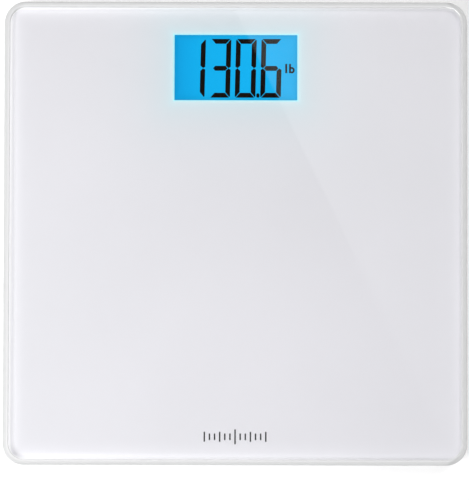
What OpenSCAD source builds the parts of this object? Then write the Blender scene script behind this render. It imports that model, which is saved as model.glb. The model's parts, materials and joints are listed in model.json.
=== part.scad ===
// Digital bathroom scale: a square glass platform on four load-cell feet, with a backlit
// display, a battery bay and a unit button in a shallow housing under the glass.
// Millimetres, +Z up, +Y towards the display, origin on the floor under the middle.

/* [Platform] */
// Width of the glass, left to right
platform_w = 280; // [230:1:340]
// Depth of the glass, front to back
platform_l = 280; // [230:1:340]
// Thickness of the tempered glass
glass_t = 6; // [5:0.2:8]
// Corner radius of the glass, seen from above
corner_r = 13; // [10:0.2:20]
// Height of the underside of the glass above the floor
underside_h = 20; // [20:0.5:25]

/* [Display] */
// Width of the clear display window
window_w = 76; // [60:0.2:92]
// Depth of the clear display window
window_l = 41; // [32:0.5:50]
// Distance from the rear edge of the glass to the middle of the window
window_setback = 39.5; // [39:0.5:48]
// Width of the printed tick row near the front edge
mark_w = 38; // [30:1:60]
// Distance from the front edge of the glass to the tick row
mark_setback = 17; // [14:0.5:20]

/* [Feet] */
// Outer radius of each foot bracket
bracket_r = 27; // [26.5:0.1:33]
// Gap from a foot bracket to the edge of the glass
foot_edge_gap = 7; // [5:0.5:10]
// Radius of the rubber pad
pad_r = 17; // [14:0.1:17]
// Upward travel of a foot at full load
foot_travel = 0.6; // [0.3:0.1:0.8]

/* [Power] */
// Diameter of one cell
cell_d = 10.5; // [10:0.1:10.6]
// Length of one cell with its nub
cell_l = 44.5; // [43:0.1:46]

/* [Button] */
// Radius of the unit button
button_r = 5; // [4:0.1:6]
// Upward travel of the unit button
button_travel = 0.5; // [0.3:0.1:0.5]

/* [Hidden] */
$fn = 64;
// How far a cutter runs past the surface it opens
cut = 1;
// Clear gap between bodies that move past each other
slide_gap = 0.3;
// Radial running fit of the switch plunger
running_fit = 0.1;
// Gap that lets fixed parts drop into place
drop_gap = 0.2;

// Glass and print
edge_crown = 0.15;
edge_r = glass_t / 2 + edge_crown;
print_t = 0.2;
glue_t = 0.2;
print_z = underside_h - print_t;
under_top = print_z - glue_t;
tick_count = 13;
tick_w = 0.9;
tick_long = 9;
tick_mid = 6;
tick_short = 4;

// Feet
foot_inset = bracket_r + foot_edge_gap;
foot_x = platform_w / 2 - foot_inset;
foot_y = platform_l / 2 - foot_inset;
bracket_wall = 2.5;
bracket_roof = 2;
bracket_z = 5;
lip_t = 2.5;
lip_top = bracket_z + lip_t;
cup_r = pad_r + 2.5;
cup_z = 1.2;
cup_wall = 2;
cup_floor = 2.3;
cup_flange = 2;
cup_flange_t = 1.2;
cup_top = lip_top + slide_gap + cup_flange_t;
pad_t = 2.2;
pad_chamfer = 0.6;
boss_r = 4;
cell_plate = 34;
cell_plate_r = 3;
cell_plate_t = 2;
flex_margin = 1.6;
cell_gap_above = foot_travel + flex_margin;
plate_z = under_top - bracket_roof - cell_gap_above - cell_plate_t;
boss_gap = 0.05;
tongue_w = 12;
tongue_front = -9;
tongue_root = 6;
slot_w = 1.6;
ledge_w = 5;
ledge_l = 24;
ledge_x = 13;
gauge_w = 6;
gauge_l = 4;
gauge_t = 0.5;

// Wires
lead_r = 0.6;
lead_pitch = 1.3;
lead_z = print_z - lead_r;
lead_drop_r = 1.8;
lead_turn_r = 6;
lead_start = 9;
lead_slot_w = 2 * lead_pitch + 2 * lead_r + 0.6;
lead_slot_z = lead_z - lead_r - 0.1;
clip_w = 9;
clip_l = 6;
clip_t = 2;

// Display stack, from the print down
lcd_margin = 2;
lcd_w = window_w + 2 * lcd_margin;
lcd_l = window_l + 2 * lcd_margin;
lcd_glass_t = 1.1;
lcd_ledge = 3;
lcd_top = under_top;
lcd_mid = lcd_top - lcd_glass_t;
lcd_bottom = lcd_mid - lcd_glass_t;
guide_t = 2.3;
reflector_t = 0.2;
reflector_z = lcd_bottom - guide_t - reflector_t;
frame_wall = 2.3;
frame_w = lcd_w + 2 * drop_gap + 2 * frame_wall;
frame_l = lcd_l + 2 * drop_gap + 2 * frame_wall;
zebra_w = 2;
led_w = 1.4;
led_l = 3;
led_h = 1.5;
led_count = 4;
guide_w = lcd_w - 4;
guide_l = lcd_l - 2 * lcd_ledge - 2;
window_y = platform_l / 2 - window_setback;

// Board
board_t = 1.6;
board_top = reflector_z;
board_z = board_top - board_t;
board_w = frame_w + 14;
board_l = frame_l + 3;
post_x = frame_w / 2 + 3.6;
post_front = window_y - 10;
post_rear = window_y + board_l / 2 - 6;
post_r = 3;
screw_r = 1.2;
screw_head_r = 2.2;
screw_head_t = 1.4;
screw_l = 7;
land_y = window_y - board_l / 2 + 5.5;
lane_gap = 15;

// Battery bay
cell_count = 3;
end_gap = 8.5;
bay_w = cell_l + end_gap;
cell_pitch = cell_d + 0.8;
bay_l = cell_count * cell_pitch + 0.8;
rib_t = 1.2;
bay_roof_t = 1.1;
bay_roof_z = under_top - bay_roof_t;
cell_top_gap = 0.3;
cell_z = bay_roof_z - cell_top_gap - cell_d / 2;
contact_t = 0.4;
contact_w = 9;
contact_h = 8;
nub_r = 1.9;
nub_l = 1;
coil_wire_r = 0.4;
coil_big_r = 3.6;
coil_small_r = 2.6;
coil_turns = 5;
coil_l = end_gap - 2 * contact_t;

// Housing
wall_t = 2;
floor_t = 1.8;
housing_r = 6;
housing_z = 4.5;
floor_top = housing_z + floor_t;
housing_w = board_w + 2 * wall_t + 2.4;
housing_rear = window_y + board_l / 2 + 1 + wall_t;
bay_rear = window_y - board_l / 2 - 1 - rib_t;
bay_front = bay_rear - bay_l;
bay_y = (bay_front + bay_rear) / 2;
housing_front = bay_front - wall_t;
housing_l = housing_rear - housing_front;
housing_y = (housing_rear + housing_front) / 2;
housing_h = under_top - housing_z;
lane_y = housing_front - lane_gap;

// Battery door
flange_w = bay_w - 0.8;
door_w = flange_w - 3.2;
flange_t = 0.7;
flange_z = floor_top + slide_gap;
door_top = flange_z + flange_t;
door_l = bay_rear - housing_front - 0.4;
grip_count = 4;
grip_w = 24;
grip_l = 1.2;
grip_depth = 0.6;
grip_pitch = 2.6;

// Button and switch
switch_x = -frame_w / 2 + 12;
switch_y = window_y - 16;
switch_w = 6;
button_flange = 1.5;
button_flange_t = 0.8;
button_lip = 0.2;
button_top = floor_top + slide_gap + button_flange_t;
switch_z = button_top + button_travel + slide_gap;
plunger_r = 1.6;
plunger_l = 3;

glass_colour = [0.86, 0.90, 0.92, 0.35];
print_white = [0.93, 0.93, 0.95];
shell_white = [0.90, 0.90, 0.88];
ink_black = [0.05, 0.05, 0.06];
steel = [0.72, 0.73, 0.75];
rubber_grey = [0.16, 0.16, 0.17];
board_green = [0.06, 0.32, 0.16];
lcd_blue = [0.08, 0.62, 0.93];
tape_tan = [0.85, 0.83, 0.76];

// Flat plate with rounded corners, centred on x and y, base at z = 0
module rounded_plate(w, l, h, r) {
  translate([-w / 2, -l / 2 + r, 0]) cube([w, l - 2 * r, h]);
  translate([-w / 2 + r, -l / 2, 0]) cube([w - 2 * r, l, h]);
  for (x = [-1, 1], y = [-1, 1])
    translate([x * (w / 2 - r), y * (l / 2 - r), 0]) cylinder(h = h, r = r);
}

// Block centred on x and y, base at z = 0
module block(w, l, h) {
  translate([-w / 2, -l / 2, 0]) cube([w, l, h]);
}

// Children at one foot, turned so that local +Y points along its wires
module at_foot(side, rear) {
  translate([side * foot_x, rear * foot_y, 0])
    rotate([0, 0, rear > 0 ? side * 90 : 0])
      children();
}

module at_all_feet() {
  for (side = [-1, 1], rear = [-1, 1]) at_foot(side, rear) children();
}

module at_board_screws() {
  for (x = [-1, 1], y = [post_front, post_rear]) translate([x * post_x, y, 0]) children();
}

// Children at the middle of each cell, turned to that cell's polarity
module at_cell(i) {
  translate([0, bay_front + 0.4 + cell_pitch * (i + 0.5), cell_z])
    rotate([0, 0, i % 2 == 0 ? 0 : 180])
      children();
}

// Glass sheet with a crowned, ground edge all round
module glass_platform() {
  color(glass_colour) translate([0, 0, underside_h]) intersection() {
    block(2 * platform_w, 2 * platform_l, glass_t);
    union() {
      rounded_plate(
        platform_w - 2 * edge_r, platform_l - 2 * edge_r, glass_t, corner_r - edge_r
      );
      for (s = [-1, 1]) {
        translate([-platform_w / 2 + corner_r, s * (platform_l / 2 - edge_r), glass_t / 2])
          rotate([0, 90, 0]) cylinder(h = platform_w - 2 * corner_r, r = edge_r);
        translate([s * (platform_w / 2 - edge_r), -platform_l / 2 + corner_r, glass_t / 2])
          rotate([-90, 0, 0]) cylinder(h = platform_l - 2 * corner_r, r = edge_r);
      }
      for (i = [0:3])
        rotate([0, 0, i * 90])
          translate([
            (i % 2 == 0 ? platform_w : platform_l) / 2 - corner_r,
            (i % 2 == 0 ? platform_l : platform_w) / 2 - corner_r,
            glass_t / 2
          ])
            rotate_extrude(angle = 90) translate([corner_r - edge_r, 0]) circle(r = edge_r);
    }
  }
}

// Row of ruler ticks: the printed mark and the gaps it leaves in the white print
module tick_row(h) {
  for (i = [0:tick_count - 1]) {
    from_middle = abs(i - (tick_count - 1) / 2);
    tick_l = from_middle == 0 ? tick_long : from_middle % 3 == 0 ? tick_mid : tick_short;
    translate([
      -mark_w / 2 + tick_w / 2 + i * (mark_w - tick_w) / (tick_count - 1),
      -platform_l / 2 + mark_setback,
      0
    ])
      block(tick_w, tick_l, h);
  }
}

// White enamel print on the back of the glass, open at the display window
module back_print() {
  inset = edge_r + 0.2;
  color(print_white) difference() {
    translate([0, 0, print_z])
      rounded_plate(
        platform_w - 2 * inset, platform_l - 2 * inset, print_t, corner_r - inset
      );
    translate([0, window_y, print_z - cut]) block(window_w, window_l, print_t + 2 * cut);
    translate([0, 0, print_z - cut]) tick_row(print_t + 2 * cut);
  }
}

module tick_mark() {
  color(ink_black) translate([0, 0, print_z]) tick_row(print_t);
}

// Notches that let the wires pass under the glass into the housing
module wire_notches() {
  for (s = [-1, 1]) {
    translate([s * post_x, housing_front, lead_slot_z])
      block(lead_slot_w, 2 * wall_t + 2 * cut, under_top);
    translate([s * housing_w / 2, foot_y, lead_slot_z])
      block(2 * wall_t + 2 * cut, lead_slot_w, under_top);
  }
}

// Shallow tray with the battery bay, board posts, door opening and button hole
module display_housing() {
  color(shell_white) difference() {
    union() {
      translate([0, housing_y, housing_z]) difference() {
        rounded_plate(housing_w, housing_l, housing_h, housing_r);
        translate([0, 0, floor_t])
          rounded_plate(
            housing_w - 2 * wall_t, housing_l - 2 * wall_t, housing_h, housing_r - wall_t
          );
      }
      translate([0, (housing_front + bay_rear + rib_t) / 2 + wall_t / 2, housing_z])
        block(bay_w + 2 * rib_t, bay_rear + rib_t - housing_front - wall_t, housing_h);
      at_board_screws()
        translate([0, 0, floor_top - cut]) cylinder(h = board_z - floor_top + cut, r = post_r);
    }
    translate([0, bay_y, floor_top]) block(bay_w, bay_l, bay_roof_z - floor_top);
    translate([-door_w / 2 - slide_gap, housing_front - cut, housing_z - cut])
      cube([door_w + 2 * slide_gap, bay_rear - housing_front + cut, floor_t + 2 * cut]);
    translate([-flange_w / 2 - slide_gap, housing_front - cut, floor_top])
      cube([flange_w + 2 * slide_gap, wall_t + 2 * cut, door_top + slide_gap - floor_top]);
    translate([switch_x, switch_y, housing_z - cut])
      cylinder(h = floor_t + 2 * cut, r = button_r + slide_gap);
    at_board_screws()
      translate([0, 0, board_z - screw_l + board_t]) cylinder(h = screw_l, r = screw_r);
    wire_notches();
  }
}

// Foam gasket that bonds the rim of the housing to the print
module housing_adhesive() {
  color(tape_tan) difference() {
    translate([0, housing_y, under_top])
      rounded_plate(housing_w, housing_l, glue_t, housing_r);
    translate([0, housing_y, under_top - cut])
      rounded_plate(
        housing_w - 2 * wall_t, housing_l - 2 * wall_t, glue_t + 2 * cut, housing_r - wall_t
      );
    wire_notches();
  }
}

module lcd_frame() {
  color(shell_white) translate([0, window_y, board_top]) difference() {
    block(frame_w, frame_l, lcd_top - board_top);
    translate([0, 0, -cut])
      block(lcd_w + 2 * drop_gap, lcd_l + 2 * drop_gap, lcd_top - board_top + 2 * cut);
  }
}

module lcd_front_glass() {
  color(glass_colour) translate([0, window_y, lcd_mid]) block(lcd_w, lcd_l, lcd_glass_t);
}

module lcd_back_glass() {
  color(lcd_blue) translate([0, window_y, lcd_bottom])
    block(lcd_w, lcd_l - 2 * lcd_ledge, lcd_glass_t);
}

module backlight_guide() {
  color([0.75, 0.90, 0.98]) translate([0, window_y, reflector_z + reflector_t])
    block(guide_w, guide_l, guide_t);
}

module reflector_film() {
  color([0.95, 0.95, 0.97]) translate([0, window_y, reflector_z])
    block(guide_w, guide_l, reflector_t);
}

// Side-firing diodes along the left edge of the light guide
module backlight_leds() {
  color([0.95, 0.93, 0.70])
    for (i = [0:led_count - 1])
      translate([
        -guide_w / 2 - led_w / 2,
        window_y + (i - (led_count - 1) / 2) * guide_l / led_count,
        board_top
      ])
        block(led_w, led_l, led_h);
}

// Rubber connectors from the board up to the overhang of the front glass
module zebra_strips() {
  color([0.30, 0.30, 0.32])
    for (s = [-1, 1])
      translate([0, window_y + s * (lcd_l - lcd_ledge) / 2, board_top])
        block(lcd_w - 10, zebra_w, lcd_mid - board_top);
}

module circuit_board() {
  color(board_green) translate([0, 0, board_z]) difference() {
    translate([0, window_y, 0]) block(board_w, board_l, board_t);
    at_board_screws() translate([0, 0, -cut]) cylinder(h = board_t + 2 * cut, r = screw_r);
  }
}

// Moulded blob over the bare controller die, under the board
module controller_chip() {
  blob_r = 6;
  blob_h = 2.2;
  ball_r = (blob_r * blob_r + blob_h * blob_h) / (2 * blob_h);
  color(ink_black) intersection() {
    translate([6, window_y + 4, board_z - blob_h + ball_r]) sphere(r = ball_r);
    translate([6, window_y + 4, board_z - blob_h - cut])
      block(4 * blob_r, 4 * blob_r, blob_h + cut);
  }
}

module crystal_can() {
  can_w = 4.5;
  can_l = 6.5;
  can_t = 3.4;
  color(steel) translate([24, window_y + 8, board_z - can_t]) {
    block(can_l, can_w, can_t);
    for (s = [-1, 1]) translate([s * can_l / 2, 0, 0]) cylinder(h = can_t, r = can_w / 2);
  }
}

module capacitor() {
  can_r = 2.5;
  can_h = 5.5;
  color([0.12, 0.14, 0.30]) translate([26, window_y - 12, board_z - can_h]) {
    cylinder(h = can_h, r = can_r);
    translate([0, 0, can_h - 0.4]) block(2 * can_r + 0.6, 2 * can_r + 0.6, 0.4);
  }
}

module chip_resistors() {
  color([0.10, 0.10, 0.11])
    for (x = [0:3], y = [0:2])
      translate([-22 + x * 4.5, window_y + 8 + y * 3.5, board_z - 0.6]) block(2, 1.2, 0.6);
}

module board_screws() {
  color(steel) at_board_screws() {
    translate([0, 0, board_top]) difference() {
      cylinder(h = screw_head_t, r = screw_head_r);
      translate([0, 0, screw_head_t / 2]) {
        block(2.6, 0.6, screw_head_t);
        block(0.6, 2.6, screw_head_t);
      }
    }
    translate([0, 0, board_top - screw_l]) cylinder(h = screw_l, r = screw_r);
  }
}

// Push switch soldered under the board, bored for its plunger
module tact_switch() {
  color([0.20, 0.20, 0.22]) translate([switch_x, switch_y, switch_z]) difference() {
    block(switch_w, switch_w, board_z - switch_z);
    translate([0, 0, -cut])
      cylinder(h = plunger_l + cut + slide_gap, r = plunger_r + running_fit);
  }
}

module switch_plunger() {
  color([0.75, 0.20, 0.18]) translate([switch_x, switch_y, button_top])
    cylinder(h = plunger_l, r = plunger_r);
}

// Unit button in the floor of the housing, held in by its flange
module unit_button() {
  color([0.55, 0.57, 0.60]) translate([switch_x, switch_y, 0]) {
    translate([0, 0, housing_z + button_lip])
      cylinder(h = button_top - housing_z - button_lip, r = button_r);
    translate([0, 0, button_top - button_flange_t])
      cylinder(h = button_flange_t, r = button_r + button_flange);
  }
}

// One cell, its nub towards local +X against the contact plate
module cell() {
  tip = bay_w / 2 - contact_t;
  translate([tip - cell_l, 0, 0]) rotate([0, 90, 0]) {
    cylinder(h = cell_l - nub_l, r = cell_d / 2);
    cylinder(h = cell_l, r = nub_r);
  }
}

module battery_1() { color([0.16, 0.34, 0.30]) at_cell(0) cell(); }

module battery_2() { color([0.16, 0.34, 0.30]) at_cell(1) cell(); }

module battery_3() { color([0.16, 0.34, 0.30]) at_cell(2) cell(); }

// Conical contact spring: rings joined by short links, wide end on the plate
module contact_coil() {
  step = (coil_l - 2 * coil_wire_r) / (coil_turns - 1);
  shrink = (coil_big_r - coil_small_r) / (coil_turns - 1);
  translate([-bay_w / 2 + contact_t + coil_wire_r, 0, 0]) rotate([0, 90, 0])
    for (i = [0:coil_turns - 1]) {
      translate([0, 0, i * step])
        rotate_extrude() translate([coil_big_r - i * shrink, 0]) circle(r = coil_wire_r);
      if (i < coil_turns - 1)
        rotate([0, 0, i * 180])
          translate([coil_big_r - (i + 0.5) * shrink, 0, i * step])
            cylinder(h = step, r = coil_wire_r * 0.8);
    }
}

module battery_springs() {
  color(steel) for (i = [0:cell_count - 1]) at_cell(i) contact_coil();
}

// Nickel plates on both end walls of the bay
module contact_plates() {
  color(steel)
    for (i = [0:cell_count - 1], s = [-1, 1])
      at_cell(i)
        translate([s * (bay_w - contact_t) / 2, 0, -contact_h / 2])
          block(contact_t, contact_w, contact_h);
}

// Sliding cover of the battery bay, with side flanges and finger grooves
module battery_door() {
  color(shell_white) translate([0, housing_front + door_l / 2, 0]) difference() {
    union() {
      translate([0, 0, housing_z]) block(door_w, door_l, door_top - housing_z);
      translate([0, 0, flange_z]) block(flange_w, door_l, flange_t);
    }
    for (i = [0:grip_count - 1])
      translate([0, -door_l / 2 + 5 + i * grip_pitch, housing_z - cut])
        block(grip_w, grip_l, grip_depth + cut);
  }
}

// Bracket bonded under the glass: a pot with a lip that keeps the foot cup in
module foot_bracket() {
  bore_r = bracket_r - bracket_wall;
  pot_h = under_top - bracket_z;
  color(shell_white) difference() {
    translate([0, 0, bracket_z]) cylinder(h = pot_h, r = bracket_r);
    difference() {
      translate([0, 0, lip_top])
        cylinder(h = pot_h - lip_t - bracket_roof, r = bore_r);
      for (s = [-1, 1])
        translate([s * ledge_x, 0, plate_z + cell_plate_t])
          block(ledge_w, ledge_l, pot_h);
    }
    translate([0, 0, bracket_z - cut])
      cylinder(h = lip_t + 2 * cut, r = cup_r + 2 * slide_gap);
    translate([0, bracket_r, under_top - bracket_roof - cut])
      block(lead_slot_w, 2 * (bracket_r - lead_start + 2 * lead_r), bracket_roof + 2 * cut);
  }
}

// Steel bending plate: a frame with a tongue that the foot pushes up
module load_cell() {
  half = tongue_w / 2;
  color(steel) translate([0, 0, plate_z]) difference() {
    rounded_plate(cell_plate, cell_plate, cell_plate_t, cell_plate_r);
    for (s = [-1, 1])
      translate([s * (half + slot_w / 2), (tongue_front + tongue_root) / 2, -cut])
        block(slot_w, tongue_root - tongue_front, cell_plate_t + 2 * cut);
    translate([0, tongue_front - slot_w / 2, -cut])
      block(tongue_w + 2 * slot_w, slot_w, cell_plate_t + 2 * cut);
  }
}

// Cup that slides up into the bracket and carries the pad below
module foot_cup() {
  color(shell_white) difference() {
    union() {
      translate([0, 0, cup_z]) cylinder(h = cup_top - cup_z, r = cup_r);
      translate([0, 0, lip_top + slide_gap]) cylinder(h = cup_flange_t, r = cup_r + cup_flange);
    }
    translate([0, 0, pad_t + cup_floor]) difference() {
      cylinder(h = cup_top, r = cup_r - cup_wall);
      translate([0, 0, -cut]) cylinder(h = cup_top + 2 * cut, r = boss_r);
    }
    translate([0, 0, cup_z - cut]) cylinder(h = pad_t - cup_z + cut, r = pad_r);
  }
  color(shell_white) translate([0, 0, pad_t + cup_floor - cut])
    cylinder(h = plate_z - boss_gap - pad_t - cup_floor + cut, r = boss_r);
}

// Rubber pad with a bevelled rim and shallow ring grooves
module foot_pad() {
  color(rubber_grey) rotate_extrude() difference() {
    polygon([
      [0, 0],
      [pad_r - pad_chamfer, 0],
      [pad_r, pad_chamfer],
      [pad_r, pad_t],
      [0, pad_t]
    ]);
    for (r = [5, 8, 11]) translate([r, -cut]) square([1.2, cut + 0.5]);
  }
}

module foot_bracket_front_left() { at_foot(-1, -1) foot_bracket(); }

module foot_bracket_front_right() { at_foot(1, -1) foot_bracket(); }

module foot_bracket_rear_left() { at_foot(-1, 1) foot_bracket(); }

module foot_bracket_rear_right() { at_foot(1, 1) foot_bracket(); }

module load_cell_front_left() { at_foot(-1, -1) load_cell(); }

module load_cell_front_right() { at_foot(1, -1) load_cell(); }

module load_cell_rear_left() { at_foot(-1, 1) load_cell(); }

module load_cell_rear_right() { at_foot(1, 1) load_cell(); }

module foot_cup_front_left() { at_foot(-1, -1) foot_cup(); }

module foot_cup_front_right() { at_foot(1, -1) foot_cup(); }

module foot_cup_rear_left() { at_foot(-1, 1) foot_cup(); }

module foot_cup_rear_right() { at_foot(1, 1) foot_cup(); }

module foot_pad_front_left() { at_foot(-1, -1) foot_pad(); }

module foot_pad_front_right() { at_foot(1, -1) foot_pad(); }

module foot_pad_rear_left() { at_foot(-1, 1) foot_pad(); }

module foot_pad_rear_right() { at_foot(1, 1) foot_pad(); }

// Bonding discs between the brackets and the print
module foot_adhesive() {
  color(tape_tan) at_all_feet() difference() {
    translate([0, 0, under_top]) cylinder(h = glue_t, r = bracket_r);
    translate([0, bracket_r, under_top - cut])
      block(lead_slot_w, 2 * (bracket_r - lead_start + 2 * lead_r), glue_t + 2 * cut);
  }
}

// Gauge pads bonded across the root of each tongue
module strain_gauges() {
  color([0.92, 0.90, 0.82]) at_all_feet()
    translate([0, lead_start, plate_z + cell_plate_t]) block(gauge_w, gauge_l, gauge_t);
}

// Quarter bend of one wire about the origin, from +X to +Y
module lead_bend(r) {
  rotate_extrude(angle = 90) translate([r, 0]) circle(r = lead_r);
}

// Straight run of one wire along +Y
module lead_run(length) {
  rotate([-90, 0, 0]) cylinder(h = length, r = lead_r);
}

// Three wires from a rear load cell straight in to the board
module rear_leads() {
  gauge_top = plate_z + cell_plate_t + gauge_t;
  drop_z = lead_z - lead_drop_r;
  start_x = foot_x - lead_start;
  for (k = [-1:1]) translate([0, foot_y + k * lead_pitch, 0]) {
    translate([start_x, 0, gauge_top]) cylinder(h = drop_z - gauge_top, r = lead_r);
    translate([start_x - lead_drop_r, 0, drop_z]) rotate([90, 0, 0]) lead_bend(lead_drop_r);
    translate([start_x - lead_drop_r, 0, lead_z])
      rotate([0, 0, 90]) lead_run(start_x - 2 * lead_drop_r - post_x);
    translate([post_x + lead_drop_r, 0, drop_z])
      rotate([90, 0, 0]) rotate([0, 0, 90]) lead_bend(lead_drop_r);
    translate([post_x, 0, board_top]) cylinder(h = drop_z - board_top, r = lead_r);
  }
}

// Three wires from a front load cell: back, across and back again to the board
module front_leads() {
  gauge_top = plate_z + cell_plate_t + gauge_t;
  drop_z = lead_z - lead_drop_r;
  start_y = -foot_y + lead_start;
  turn_y = lane_y - lead_turn_r;
  for (k = [-1:1]) {
    shift = k * lead_pitch;
    translate([foot_x + shift, start_y, gauge_top])
      cylinder(h = drop_z - gauge_top, r = lead_r);
    translate([foot_x + shift, start_y + lead_drop_r, drop_z])
      rotate([90, 0, 90]) rotate([0, 0, 90]) lead_bend(lead_drop_r);
    translate([foot_x + shift, start_y + lead_drop_r, lead_z])
      lead_run(turn_y - start_y - lead_drop_r);
    translate([foot_x - lead_turn_r, turn_y, lead_z]) lead_bend(lead_turn_r + shift);
    translate([foot_x - lead_turn_r, lane_y + shift, lead_z])
      rotate([0, 0, 90]) lead_run(foot_x - post_x - 2 * lead_turn_r);
    translate([post_x + lead_turn_r, lane_y + lead_turn_r, lead_z])
      rotate([0, 0, 180]) lead_bend(lead_turn_r - shift);
    translate([post_x + shift, lane_y + lead_turn_r, lead_z])
      lead_run(land_y - lead_drop_r - lane_y - lead_turn_r);
    translate([post_x + shift, land_y - lead_drop_r, drop_z])
      rotate([90, 0, 90]) lead_bend(lead_drop_r);
    translate([post_x + shift, land_y, board_top])
      cylinder(h = drop_z - board_top, r = lead_r);
  }
}

module wires_front_left() { color([0.75, 0.12, 0.10]) mirror([1, 0, 0]) front_leads(); }

module wires_front_right() { color([0.75, 0.12, 0.10]) front_leads(); }

module wires_rear_left() { color([0.75, 0.12, 0.10]) mirror([1, 0, 0]) rear_leads(); }

module wires_rear_right() { color([0.75, 0.12, 0.10]) rear_leads(); }

// Saddle stuck to the print over three wires that run along local +Y
module wire_clip() {
  translate([0, 0, print_z - clip_t]) difference() {
    block(clip_w, clip_l, clip_t);
    translate([0, 0, lead_slot_z - print_z + clip_t]) block(lead_slot_w, clip_l + 2 * cut, clip_t);
  }
}

module wire_clips() {
  rear_x = (foot_x - bracket_r + housing_w / 2) / 2;
  color(shell_white) for (s = [-1, 1]) {
    translate([s * rear_x, foot_y, 0]) rotate([0, 0, 90]) wire_clip();
    translate([s * foot_x, (lane_y - foot_y + bracket_r) / 2, 0]) wire_clip();
    translate([s * (foot_x + post_x) / 2, lane_y, 0]) rotate([0, 0, 90]) wire_clip();
  }
}

glass_platform();
back_print();
tick_mark();
display_housing();
housing_adhesive();
lcd_frame();
lcd_front_glass();
lcd_back_glass();
backlight_guide();
reflector_film();
backlight_leds();
zebra_strips();
circuit_board();
controller_chip();
crystal_can();
capacitor();
chip_resistors();
board_screws();
tact_switch();
switch_plunger();
unit_button();
battery_1();
battery_2();
battery_3();
battery_springs();
contact_plates();
battery_door();
foot_bracket_front_left();
foot_bracket_front_right();
foot_bracket_rear_left();
foot_bracket_rear_right();
foot_adhesive();
load_cell_front_left();
load_cell_front_right();
load_cell_rear_left();
load_cell_rear_right();
strain_gauges();
foot_cup_front_left();
foot_cup_front_right();
foot_cup_rear_left();
foot_cup_rear_right();
foot_pad_front_left();
foot_pad_front_right();
foot_pad_rear_left();
foot_pad_rear_right();
wires_front_left();
wires_front_right();
wires_rear_left();
wires_rear_right();
wire_clips();
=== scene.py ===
"""Digital bathroom scale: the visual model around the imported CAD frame. Metres, row frame."""

import json
import math

import bmesh
import bpy
from mathutils import Matrix, Vector


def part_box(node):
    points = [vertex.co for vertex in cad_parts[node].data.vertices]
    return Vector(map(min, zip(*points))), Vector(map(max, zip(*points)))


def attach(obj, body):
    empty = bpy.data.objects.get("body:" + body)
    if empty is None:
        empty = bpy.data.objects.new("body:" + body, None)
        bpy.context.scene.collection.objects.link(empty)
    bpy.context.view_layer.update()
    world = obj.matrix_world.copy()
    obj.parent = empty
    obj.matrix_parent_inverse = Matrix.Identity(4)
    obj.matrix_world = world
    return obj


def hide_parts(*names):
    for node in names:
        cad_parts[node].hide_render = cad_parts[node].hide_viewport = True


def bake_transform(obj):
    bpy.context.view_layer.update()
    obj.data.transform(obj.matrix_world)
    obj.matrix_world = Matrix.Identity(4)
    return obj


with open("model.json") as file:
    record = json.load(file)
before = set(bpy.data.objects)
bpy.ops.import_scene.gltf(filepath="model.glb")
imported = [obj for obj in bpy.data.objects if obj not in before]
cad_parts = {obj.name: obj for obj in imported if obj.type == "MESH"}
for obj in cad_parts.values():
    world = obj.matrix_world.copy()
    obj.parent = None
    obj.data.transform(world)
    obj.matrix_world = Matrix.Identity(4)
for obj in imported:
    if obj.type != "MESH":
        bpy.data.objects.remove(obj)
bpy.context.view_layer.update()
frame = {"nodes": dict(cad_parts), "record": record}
NODES = frame["nodes"]
ROOT = "platform"
MM = 0.001


# ---------------------------------------------------------------- camera
IMAGE_H = 500
SENSOR = 36.0
CAMERA_DISTANCE = 1.5518
CAMERA_ELEVATION = math.radians(88.08)
CAMERA_ROLL = math.radians(0.14)
CAMERA_AIM = Vector((-0.0006, -0.0103, 0.023))
FOCAL_PIXELS = 1656.25 * CAMERA_DISTANCE


def make_camera():
    """Camera almost straight above the platform, on the photograph's long lens."""
    back = Vector((0, -math.cos(CAMERA_ELEVATION), math.sin(CAMERA_ELEVATION)))
    right = Vector((1, 0, 0))
    up = back.cross(right)
    c, s = math.cos(CAMERA_ROLL), math.sin(CAMERA_ROLL)
    right, up = right * c + up * s, up * c - right * s
    data = bpy.data.cameras.new("camera")
    data.sensor_width = SENSOR
    data.lens = FOCAL_PIXELS * SENSOR / IMAGE_H
    data.clip_start, data.clip_end = 0.01, 60
    cam = bpy.data.objects.new("camera", data)
    axes = Matrix((right, up, back)).transposed()
    place = Matrix.Translation(CAMERA_AIM + back * CAMERA_DISTANCE)
    cam.matrix_world = place @ axes.to_4x4()
    bpy.context.scene.collection.objects.link(cam)
    bpy.context.scene.camera = cam


make_camera()
bpy.context.scene.view_settings.view_transform = "Standard"


# ---------------------------------------------------------------- places
def middle(node):
    """Middle of a CAD node's box."""
    lo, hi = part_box(node)
    return (Vector(lo) + Vector(hi)) / 2


def low(node):
    """Lower corner of a CAD node's box."""
    return Vector(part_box(node)[0])


def high(node):
    """Upper corner of a CAD node's box."""
    return Vector(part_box(node)[1])


GLASS_LO, GLASS_HI = low("glass_platform"), high("glass_platform")
HALF_W, HALF_L = GLASS_HI.x, GLASS_HI.y
CORNER_R = 13 * MM
LCD_TOP = high("lcd_front_glass").z
LCD_MID = middle("lcd_front_glass")
WINDOW_W, WINDOW_L = 76 * MM, 41 * MM
ACTIVE_W, ACTIVE_L = 74.5 * MM, 39.7 * MM


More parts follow.
